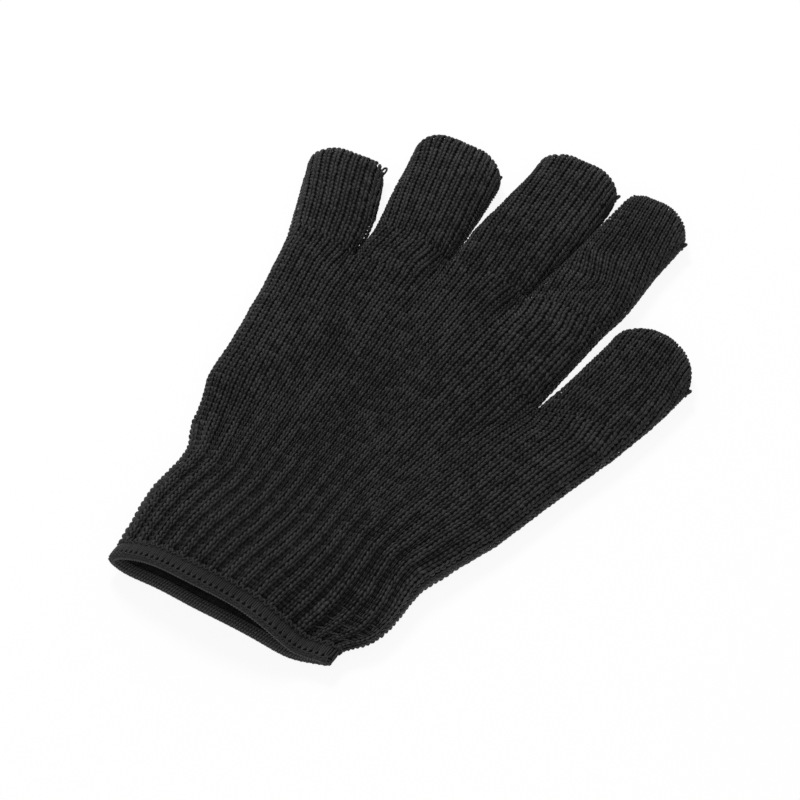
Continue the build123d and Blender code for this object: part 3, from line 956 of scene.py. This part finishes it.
def tube_mesh(name, paths, radius, round_count, closed=False, tints=None):
    """Tubes of yarn along some paths of points, in millimetres, with coordinates along them."""
    points, faces, uvs, shade = [], [], [], []
    for number, path in enumerate(paths):
        path = np.asarray(path, float)
        first = len(points)
        run = run_along(path)
        ahead = unit(np.roll(path, -1, 0) - np.roll(path, 1, 0) if closed else np.gradient(path, axis=0))
        side_way = np.cross(ahead[0], (0.2, 0.3, 0.93))
        for i, point in enumerate(path):
            side_way = side_way - ahead[i] * (side_way @ ahead[i])
            side_way /= np.linalg.norm(side_way)
            up_way = np.cross(side_way, ahead[i])
            end = 0.55 if not closed and i in (0, len(path) - 1) else 1.0
            for s in range(round_count):
                a = 2 * math.pi * s / round_count
                ring = side_way * math.cos(a) + up_way * math.sin(a)
                points.append((point + ring * radius * end) * MM)
        count = len(path) if closed else len(path) - 1
        for i in range(count):
            j = (i + 1) % len(path)
            for s in range(round_count):
                t = (s + 1) % round_count
                faces.append((first + i * round_count + s, first + j * round_count + s,
                              first + j * round_count + t, first + i * round_count + t))
                low, high = run[i], run[i + 1] if i + 1 < len(run) else run[i] + 1
                near, far = s / round_count, (s + 1) / round_count
                uvs += [(near, low), (near, high), (far, high), (far, low)]
        shade += [tints[number] if tints is not None else 0.5] * (len(path) * round_count)
    mesh = mesh_of(name, points, faces, uvs)
    mesh.attributes.new("tint", "FLOAT", "POINT").data.foreach_set("value", np.array(shade))
    return mesh


def as_piece(name, mesh, material):
    """A mesh as an object with a material."""
    mesh.materials.append(material)
    return in_scene(name, mesh)

# %% The way round the mouth
WIDE = RIB - MOUTH


def round_the_mouth(count):
    """Evenly spaced points round the rim of the mouth, with the way on and the way out."""
    ring = RINGS["cuff"][0]
    for _ in range(3):
        ring = (np.roll(ring, 1, axis=0) + 2 * ring + np.roll(ring, -1, axis=0)) / 4
    closed = np.concatenate([ring, ring[:1]])
    run = run_along(closed)
    at = np.arange(count) / count * run[-1]
    points = np.stack([np.interp(at, run, closed[:, i]) for i in range(3)], axis=1)
    points[:, 1] -= WIDE
    on = unit(np.roll(points, -3, axis=0) - np.roll(points, 3, axis=0))
    return points, on, unit(np.stack([-on[:, 2], np.zeros(count), on[:, 0]], axis=1))

# %% The wrapping threads
GROUPS, IN_GROUP = 84, 3  # groups of wrapping threads round the mouth, and threads in each
STRANDS = GROUPS * IN_GROUP
HOLES_AT = 1.9  # the threads of a group are pulled together this far up from the rim
spots, on, out = round_the_mouth(STRANDS)
PROFILE = (  # of a thread, from its upper end outside to its end inside: up from the rim, and out
    (WIDE + 0.9, 0.15),
    (WIDE - 0.2, 0.75),
    (WIDE * 0.7, 0.95),
    (2.7, 0.95),
    (HOLES_AT, 0.9),
    (1.1, 0.75),
    (0.35, 0.2),
    (0.45, -0.45),
    (1.2, -0.85),
    (WIDE * 0.55, -0.95),
    (WIDE * 0.8, -0.9),
    (WIDE * 1.02, -0.6),
)
paths, tints = [], []
for i in range(STRANDS):
    pull = (i % IN_GROUP) - (IN_GROUP - 1) / 2
    reach = rng.uniform(-0.35, 0.35)
    path = []
    for k, (up_by, out_by) in enumerate(PROFILE):
        gather = -pull * 0.5 * math.exp(-((up_by - HOLES_AT) ** 2) / 0.3) * (out_by > 0)
        slant = 0.35 * (up_by / WIDE) * (1 if out_by > 0 else -1)
        rise = np.array([0, up_by + (reach if k == 0 else 0), 0])
        path.append(spots[i] + on[i] * (gather + slant) + rise + out[i] * out_by)
    paths.append(path)
    tints.append(0.5 + 0.22 * rng.standard_normal())
threads = as_piece("edge_threads", tube_mesh("edge_threads", paths, 0.36, 5, tints=tints), THREAD)
print("wrapping threads:", STRANDS, "in", GROUPS, "groups")

# %% The needle thread and the chain along the rim
IN_LOOP = 8  # points in each loop of a chain


def loops_round(loops):
    """Points round the mouth for some loops, the way out there, and how far round its loop each
    of them lies."""
    spots, _, out = round_the_mouth(loops * IN_LOOP)
    return spots, out, np.arange(loops * IN_LOOP)[:, None] * 2 * math.pi / IN_LOOP


spots, out, phase = loops_round(GROUPS)
sway = rng.uniform(-0.2, 0.2, GROUPS).repeat(IN_LOOP)[:, None]
up = np.array([0, 1.0, 0])
needle = spots + up * (WIDE + 0.1 + sway + 0.6 * np.cos(phase)) + out * (1.3 + 0.2 * np.sin(phase))
chain_high = spots + up * (1.15 + 0.25 * np.cos(phase)) + out * (0.95 + 0.1 * np.sin(phase))
chain_low = spots + up * (0.7 - 0.2 * np.cos(phase)) + out * (0.7 + 0.1 * np.cos(phase))
needle_mesh = tube_mesh("edge_needle", [needle], 0.36, 5, closed=True)
chain_mesh = tube_mesh("edge_chain", [chain_high, chain_low], 0.24, 5, closed=True)
needle_piece = as_piece("edge_needle_thread", needle_mesh, THREAD)
chain_piece = as_piece("edge_chain", chain_mesh, THREAD)
print("chain along the rim:", GROUPS, "loops")

# %% The chains on the inner side of the edge
INNER_LOOPS = 2 * GROUPS
spots, out, phase = loops_round(INNER_LOOPS)
inner_chains = [
    spots + up * (level + 0.5 * np.cos(phase + turn)) - out * (deep + 0.2 * np.sin(phase + turn))
    for level, deep, turn in ((0.9, 0.9, 0.0), (1.9, 1.3, 2.1), (2.9, 1.4, 4.2))
]
# the three inner chains are painted lightest nearest the rim and darker deeper in, as painted light and
# shade
chains_mesh = tube_mesh("edge_inner_chains", inner_chains, 0.3, 5, closed=True, tints=(0.9, 0.7, 0.5))
inner_piece = as_piece("edge_inner_chains", chains_mesh, INNER_THREAD_PAINTED_LIGHT)
print("inner chains:", len(inner_chains), "of", INNER_LOOPS, "loops each")

# %% The fold of fabric inside the edge
FOLD_POINTS = 144
FOLD = (  # up from the rim, and out, from the outer side round to the inner
    (WIDE + 0.8, -0.1),
    (WIDE * 0.5, 0.35),
    (0.9, 0.25),
    (0.5, 0.0),
    (0.9, -0.4),
    (WIDE * 0.5, -0.6),
    (WIDE + 0.8, -0.6),
)
spots, _, out = round_the_mouth(FOLD_POINTS)
sheet_points = np.concatenate([spots + np.array([0, a, 0]) + out * b for a, b in FOLD]) * MM
sheet_faces = []
for row in range(len(FOLD) - 1):
    for i in range(FOLD_POINTS):
        a, b = row * FOLD_POINTS + i, row * FOLD_POINTS + (i + 1) % FOLD_POINTS
        sheet_faces.append((a, b, b + FOLD_POINTS, a + FOLD_POINTS))
fold = as_piece("edge_fold", mesh_of("edge_fold", sheet_points, sheet_faces), BACKING)
for piece in (threads, needle_piece, chain_piece, inner_piece, fold):
    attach(piece, "cuff")
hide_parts("cuff_edge")
print("fold:", len(sheet_faces), "faces")

# %% [markdown]
# ## Elastic yarns
# Six covered elastic yarns are laid into the inner side of the rib. They are what makes the cuff
# close on the wrist, and can only be seen from inside.

# %% The elastic yarns
ELASTICS = sorted(n for n in frame["nodes"] if n.startswith("cuff_elastic_"))
rings = []
for node in ELASTICS:
    level = (low_y(node) + high_y(node)) / 2
    ring = RINGS["cuff"][rows_at("cuff", level, level)[0]]
    inward = ring.mean(0) - ring
    inward[:, 1] = 0
    inward[:, 0] *= 0.05
    rings.append(ring + unit(inward))
elastics = as_piece("elastic_yarns", tube_mesh("elastic", rings, 0.3, 6, closed=True), ELASTIC)
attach(elastics, "cuff")
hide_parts(*ELASTICS)
print("elastic yarns:", len(rings))

# %% [markdown]
# ## Ends of yarn
# The machine closes each fingertip by tying its yarn off at one corner, and a short twisted end
# is left standing there.

# %% Twisted yarn
PLIES, STEPS = 2, 40
TWIST = 2.6 * 0.35  # how far the plies turn with each step


def twisted(path, radius):
    """Plies of yarn twisted round a path."""
    path = np.asarray(path, float)
    run = np.linspace(0, len(path) - 1, STEPS)
    smooth_path = np.stack([np.interp(run, np.arange(len(path)), path[:, i]) for i in range(3)], 1)
    for _ in range(6):
        smooth_path[1:-1] = (smooth_path[:-2] + 2 * smooth_path[1:-1] + smooth_path[2:]) / 4
    ahead = unit(np.gradient(smooth_path, axis=0))
    side_way = unit(np.cross(ahead, (0.31, 0.2, 0.93)))
    up_way = np.cross(side_way, ahead)
    made = []
    for ply in range(PLIES):
        a = TWIST * np.arange(STEPS) + 2 * math.pi * ply / PLIES
        made.append(smooth_path + (side_way * np.cos(a)[:, None] + up_way * np.sin(a)[:, None]) * radius)
    return made

# %% A knot and its tail
TAIL = (  # out and along, in sizes of its loop, and up
    (0, -0.4, 0.3),
    (0.3, -0.2, 0.8),
    (0.55, 0.3, 1.0),
    (0.5, 0.9, 0.8),
    (0.1, 1.1, 0.5),
    (-0.1, 0.8, 0.3),
)


def knot_paths(centre, along, out, loop):
    """A small overhand knot with one end curling back over it."""
    up_way = np.array([0, 0, 1.0])
    knot = []
    for t in np.linspace(0, 2 * math.pi * 0.95, 14):
        x = math.sin(t) + 0.9 * math.sin(2 * t)
        y = math.cos(t) - 0.9 * math.cos(2 * t)
        knot.append(centre + along * x * 0.5 + up_way * y * 0.5 + out * (0.5 + 0.35 * math.sin(3 * t)))
    tail = [centre + out * (0.4 + a * loop) + along * (b * loop) + up_way * c for a, b, c in TAIL]
    return twisted(knot, 0.22) + twisted(tail, 0.2)

# %% Knots at the fingertips
KNOT_LIES = {  # how the knots have been pushed from where the solid ones stand
    "little": (-2.7, -0.9),
    "ring": (-4.3, 1.4),
    "middle": (3.7, -9.5),
    "index": (-3.4, -1.8),
    "thumb": (-0.8, -0.6),
}
for d in DIGITS:
    low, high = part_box(f"{d}_yarn_end")
    centre = np.array((low + high) / 2) / MM
    axis = Vector(joints[f"{d}_middle_bend"]["axis"])
    along = np.array((-axis.y, axis.x, 0))
    out = np.array((axis.x, axis.y, 0)) * 0.9 + along * 0.35
    out /= np.linalg.norm(out)
    centre[:2] += KNOT_LIES[d]
    loop = 2.8 if d == "little" else 1.8
    tied_mesh = tube_mesh(f"{d}_tied", knot_paths(centre, along, out, loop), 0.27, 6)
    tied = as_piece(f"{d}_tied_end", tied_mesh, KNIT)
    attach(tied, f"{d}_end")
    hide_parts(f"{d}_yarn_end")
print("tied ends:", len(DIGITS))

# %% [markdown]
# ## The table and the light
# The glove lies on a white table in even light from all round. A soft lamp above its fingertips
# draws out the stitches, and a wider one over the cuff softens the shadows.

# %% The table
def table_material():
    """White paper. It shows as plain white, and keeps a trace of the glove's shadow."""
    material, tree = node_material("white_table")
    shader = tree.nodes["Principled BSDF"]
    feed(shader, Base_Color=(0.82, 0.82, 0.82, 1), Roughness=0.9, Specular_IOR_Level=0.0)
    white = add(tree, "ShaderNodeEmission", Strength=1.0).outputs["Emission"]
    seen = add(tree, "ShaderNodeLightPath").outputs
    most = maths(tree, "MAXIMUM", seen["Is Camera Ray"], seen["Is Glossy Ray"])
    share = maths(tree, "MULTIPLY", most, 0.9)
    mix = add(tree, "ShaderNodeMixShader", share, shader.outputs["BSDF"], white)
    feed(tree.nodes["Material Output"], Surface=mix.outputs["Shader"])
    return material


floor_mesh = bpy.data.meshes.new("table")
HALF_TABLE = 4.0
corners = [(x * HALF_TABLE, y * HALF_TABLE, 0) for x, y in ((-1, -1), (1, -1), (1, 1), (-1, 1))]
floor_mesh.from_pydata(corners, [], [(0, 1, 2, 3)])
floor = as_piece("table", floor_mesh, table_material())

# %% The room
world = bpy.data.worlds.new("room")
bpy.context.scene.world = world
world.use_nodes = True
tree = world.node_tree
light = feed(tree.nodes["Background"], Color=(1, 1, 1, 1), Strength=0.5).outputs["Background"]
seen = add(tree, "ShaderNodeLightPath").outputs["Is Camera Ray"]
backdrop = add(tree, "ShaderNodeBackground", Color=(1, 1, 1, 1)).outputs["Background"]
pick = add(tree, "ShaderNodeMixShader", seen, light, backdrop)
feed(tree.nodes["World Output"], Surface=pick.outputs["Shader"])

# %% Lamps and camera
def lamp(name, place, size, power):
    """A large soft lamp that looks at the glove."""
    data = bpy.data.lights.new(name, "AREA")
    data.shape, data.size, data.energy = "DISK", size, power
    made = in_scene(name, data)
    made.location = place
    made.rotation_euler = (-Vector(place)).to_track_quat("-Z", "Y").to_euler()


lamp("key", (-0.45, 0.4, 0.85), 0.3, 6.9)
lamp("fill", (0.45, -0.75, 0.75), 0.6, 4.2)

camera = in_scene("camera", bpy.data.cameras.new("camera"))
camera.data.lens = 72
camera.data.clip_start = 0.01
camera.location = Vector((180.6, -276.7, 422.7)) * MM
ahead = Vector((3.8, -3.3, 6.0)) * MM - camera.location
camera.rotation_euler = ahead.to_track_quat("-Z", "Y").to_euler()
bpy.context.scene.camera = camera
bpy.context.scene.view_settings.view_transform = "Standard"
print("camera", round(ahead.length, 2), "m from the glove")
